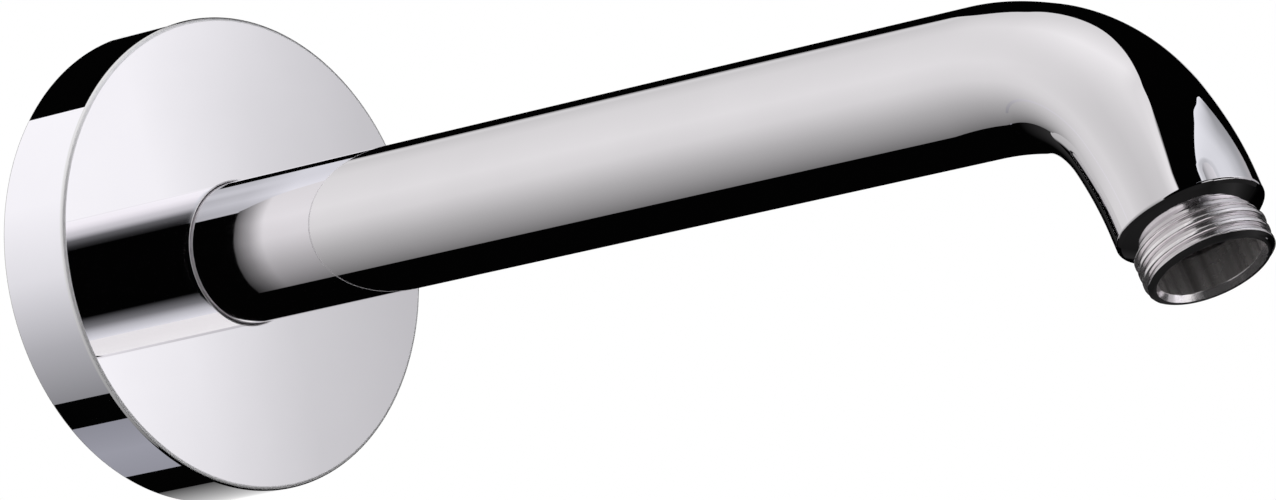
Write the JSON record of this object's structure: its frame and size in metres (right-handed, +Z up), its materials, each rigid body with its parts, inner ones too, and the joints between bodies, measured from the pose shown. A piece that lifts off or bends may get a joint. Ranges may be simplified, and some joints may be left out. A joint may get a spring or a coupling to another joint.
{
  "type": "shower arm",
  "caption": "Wall-mounted shower arm: a chromed tube that runs level and bends down to a threaded outlet, with a round slip-on wall plate.",
  "frame": {"origin": "where the tube's axis meets the wall, in the plane of the wall plate's back rim", "axes": "+X out of the wall along the straight tube, +Z up, the outlet bends down towards -Z"},
  "size_m": [0.2544, 0.08, 0.08],
  "materials": {
    "arm_chrome": "polished chrome plate on brass",
    "plate_chrome": "polished chrome plate on brass",
    "ring_rubber": "matt black rubber"
  },
  "bodies": {
    "arm": {"arm_tube": "arm_chrome"},
    "ring": {"grip_ring": "ring_rubber"},
    "plate": {"escutcheon": "plate_chrome"}
  },
  "joints": [
    {"name": "plate_slide", "type": "slide", "parent": "arm", "child": "ring", "axis": [1, 0, 0], "range_m": [0, 0.171]},
    {"name": "plate_turn", "type": "hinge", "parent": "ring", "child": "plate", "pos_m": [0, 0, 0], "axis": [1, 0, 0], "continuous": true}
  ]
}
